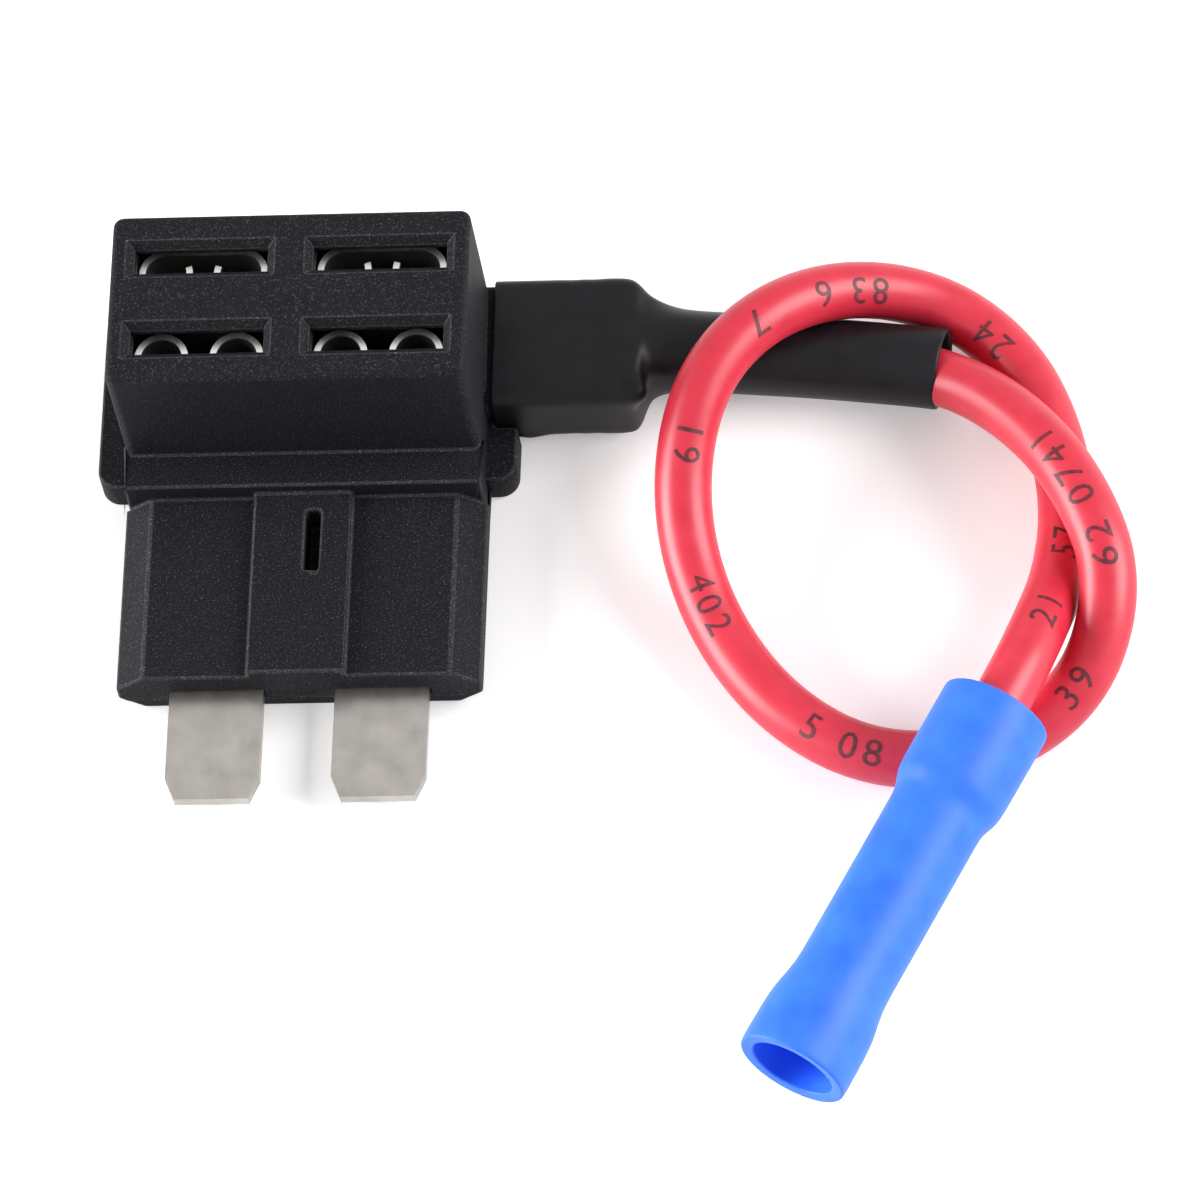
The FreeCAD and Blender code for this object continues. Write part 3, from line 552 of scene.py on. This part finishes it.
def shrink_sleeve():
    """the shrunk tube: squared over the boss, drawn in past its end, then round along the lead"""
    low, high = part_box("heat_shrink_sleeve")
    half_y = (high.y - low.y) / 2
    half_z = (SLEEVE_TOP - SLEEVE_BOTTOM) / 2
    here = Vector((low.x, (high.y + low.y) / 2, (SLEEVE_TOP + SLEEVE_BOTTOM) / 2))
    middle_y, middle_z = here.y, here.z
    bpy.ops.object.select_all(action="DESELECT")
    bpy.ops.mesh.primitive_plane_add(size=2, location=here, rotation=(0, math.pi / 2, 0))
    piece = bpy.context.object
    piece.name = "shrink_sleeve"
    piece.scale = (half_z, half_y, 1)
    bpy.ops.object.transform_apply(location=True, rotation=True, scale=True)
    bpy.ops.object.mode_set(mode="EDIT")
    bpy.ops.mesh.select_all(action="SELECT")
    bpy.ops.mesh.bevel(offset=SLEEVE_CORNER, segments=4, affect="VERTICES")
    bpy.ops.mesh.delete(type="ONLY_FACE")
    choose_edges(piece, lambda middle: abs(abs(middle.z - middle_z) - half_z) < MERGE_GAP)
    bpy.ops.mesh.subdivide(number_cuts=11)
    choose_edges(piece, lambda middle: abs(abs(middle.y - middle_y) - half_y) < MERGE_GAP)
    bpy.ops.mesh.subdivide(number_cuts=5)
    bpy.ops.mesh.select_mode(type="VERT")
    bpy.ops.mesh.select_all(action="SELECT")
    size = (half_y, half_z)
    turned = 0
    for x, y, z, across, up, roundness, turn in SLEEVE_RINGS:
        place = Vector((x, y, z)) * MM
        extrude_ring(place - here)
        if roundness > 0:
            bpy.ops.transform.tosphere(value=roundness)
            ring = [v.co for v in bmesh.from_edit_mesh(piece.data).verts if v.select]
            size = (max(abs(c.y - place.y) for c in ring), max(abs(c.z - place.z) for c in ring))
        stretch = (1, across * MM / size[0], up * MM / size[1])
        bpy.ops.transform.resize(value=stretch, center_override=place)
        if turn != turned:
            bpy.ops.transform.rotate(value=math.radians(turn - turned), orient_axis="Z",
                                     center_override=place)
            turned = turn
        size = (across * MM, up * MM)
        here = place
    for place, step, reach in SLEEVE_PULLS:
        pull(piece, place, step, reach)
    bpy.ops.object.mode_set(mode="OBJECT")
    face_outwards(piece)
    finish_with(piece, "SOLIDIFY", thickness=SLEEVE_WALL, offset=-1)
    finish_with(piece, "SUBSURF", levels=2, render_levels=2)
    bpy.ops.object.shade_smooth()
    paint(piece, shrunk_polyolefin())
    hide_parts("heat_shrink_sleeve")
    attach(piece, "root")


def blue_splice():
    """the insulating tube of the splice: two bells and a waist, drawn along X and then laid in place"""
    bpy.ops.object.select_all(action="DESELECT")
    bpy.ops.mesh.primitive_circle_add(vertices=40, radius=BELL_RADIUS, fill_type="NOTHING",
                                      rotation=(0, math.pi / 2, 0))
    piece = bpy.context.object
    piece.name = "blue_splice_tube"
    bpy.ops.object.transform_apply(location=True, rotation=True, scale=True)
    bpy.ops.object.mode_set(mode="EDIT")
    bpy.ops.mesh.select_all(action="SELECT")
    here, share = 0.0, 1.0
    for along, next_share in SPLICE_RINGS:
        extrude_ring(((along - here) * MM, 0, 0))
        growth = next_share / share
        bpy.ops.transform.resize(value=(1, growth, growth), center_override=(along * MM, 0, 0))
        here, share = along, next_share
    bpy.ops.object.mode_set(mode="OBJECT")
    face_outwards(piece)
    finish_with(piece, "SOLIDIFY", thickness=BELL_WALL, offset=-1)
    finish_with(piece, "BEVEL", limit_method="ANGLE", angle_limit=math.radians(60), width=MOUTH_ROUNDING,
                segments=3)
    finish_with(piece, "SUBSURF", levels=2, render_levels=2)
    turn = Vector((1, 0, 0)).rotation_difference(SPLICE_AXIS).to_matrix().to_4x4()
    piece.data.transform(Matrix.Translation(SPLICE_START) @ turn)
    bpy.ops.object.shade_smooth()
    paint(piece, blue_splice_vinyl())
    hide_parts("splice_sleeve")
    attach(piece, "root")
    return piece


# Stage, light and camera

def floor():
    """a plain pale floor that keeps the object's shadow and looks white round it"""
    bpy.ops.object.select_all(action="DESELECT")
    bpy.ops.mesh.primitive_plane_add(size=4, location=(0, 0, FLOOR_LEVEL))
    piece = bpy.context.object
    piece.name = "studio_floor"
    material, tree = new_material("white_studio_floor")
    rays = add(tree, "ShaderNodeLightPath")
    seen = add(tree, "ShaderNodeMath", {0: rays.outputs["Is Camera Ray"], 1: rays.outputs["Is Glossy Ray"]},
               operation="MAXIMUM")
    white = (1, 1, 1, 1)
    paper = add(tree, "ShaderNodeBsdfDiffuse", {"Color": linear("#f4f4f4")})
    glow = add(tree, "ShaderNodeEmission", {"Color": white, "Strength": FLOOR_GLOW})
    lit = add(tree, "ShaderNodeAddShader", {0: paper.outputs[0], 1: glow.outputs[0]})
    chosen = add(tree, "ShaderNodeMixShader", {
        0: seen.outputs[0], 1: paper.outputs[0], 2: lit.outputs[0]})
    add(tree, "ShaderNodeOutputMaterial", {"Surface": chosen.outputs[0]})
    paint(piece, material)


def world_light():
    """soft light from all round, behind which the background, and what metal reflects of it, is white"""
    world = bpy.data.worlds.new("studio")
    bpy.context.scene.world = world
    world.use_nodes = True
    tree = world.node_tree
    tree.nodes.clear()
    rays = add(tree, "ShaderNodeLightPath")
    straight = add(tree, "ShaderNodeMath", {
        0: rays.outputs["Is Camera Ray"], 1: rays.outputs["Is Transmission Ray"]}, operation="MAXIMUM")
    seen = add(tree, "ShaderNodeMath", {0: straight.outputs[0], 1: rays.outputs["Is Glossy Ray"]},
               operation="MAXIMUM")
    white = (1, 1, 1, 1)
    soft = add(tree, "ShaderNodeBackground", {"Color": white, "Strength": WORLD_STRENGTH})
    background = add(tree, "ShaderNodeBackground", {"Color": white, "Strength": 1.0})
    chosen = add(tree, "ShaderNodeMixShader", {
        0: seen.outputs[0], 1: soft.outputs[0], 2: background.outputs[0]})
    add(tree, "ShaderNodeOutputWorld", {"Surface": chosen.outputs[0]})


def softbox(name, place, power):
    """a square lamp that faces the middle of the object"""
    data = bpy.data.lights.new(name, "AREA")
    data.size = SOFTBOX_WIDTH
    data.energy = power
    lamp = bpy.data.objects.new(name, data)
    bpy.context.scene.collection.objects.link(lamp)
    lamp.location = place
    lamp.rotation_euler = (SOFTBOX_AIM - Vector(place)).to_track_quat("-Z", "Y").to_euler()


def camera():
    """the camera that took the photograph"""
    data = bpy.data.cameras.new("photograph_camera")
    data.sensor_width = CAMERA_SENSOR
    data.lens = CAMERA_LENS
    data.clip_start = 0.01
    piece = bpy.data.objects.new("photograph_camera", data)
    bpy.context.scene.collection.objects.link(piece)
    back = CAMERA_BACK.normalized()
    up = back.cross(CAMERA_RIGHT).normalized()
    right = up.cross(back)
    turn = Matrix((right, up, back)).transposed().to_4x4()
    piece.matrix_world = Matrix.Translation(CAMERA_PLACE) @ turn
    bpy.context.scene.camera = piece


camera()
world_light()
softbox("left_softbox", (-0.56, -0.06, 0.17), 7.0)
softbox("right_softbox", (0.52, 0.05, 0.3), 4.4)
floor()

# the shells' nylon, on faces, and greyer on the rounded edges as a painted highlight
nylon = [spark_eroded_nylon("spark_eroded_black_nylon", ("#161619", "#222226", "#4c4c52")),
         spark_eroded_nylon("black_nylon_edge_painted_highlight", ("#2d2d31", "#3c3c41", "#6a6a70"))]
front_housing(nylon)
back_cover(nylon)
metal_parts()
lead = red_wire()
shrink_sleeve()
splice = blue_splice()
numbers = lead_print(lead)

bpy.context.scene.view_settings.view_transform = "Standard"
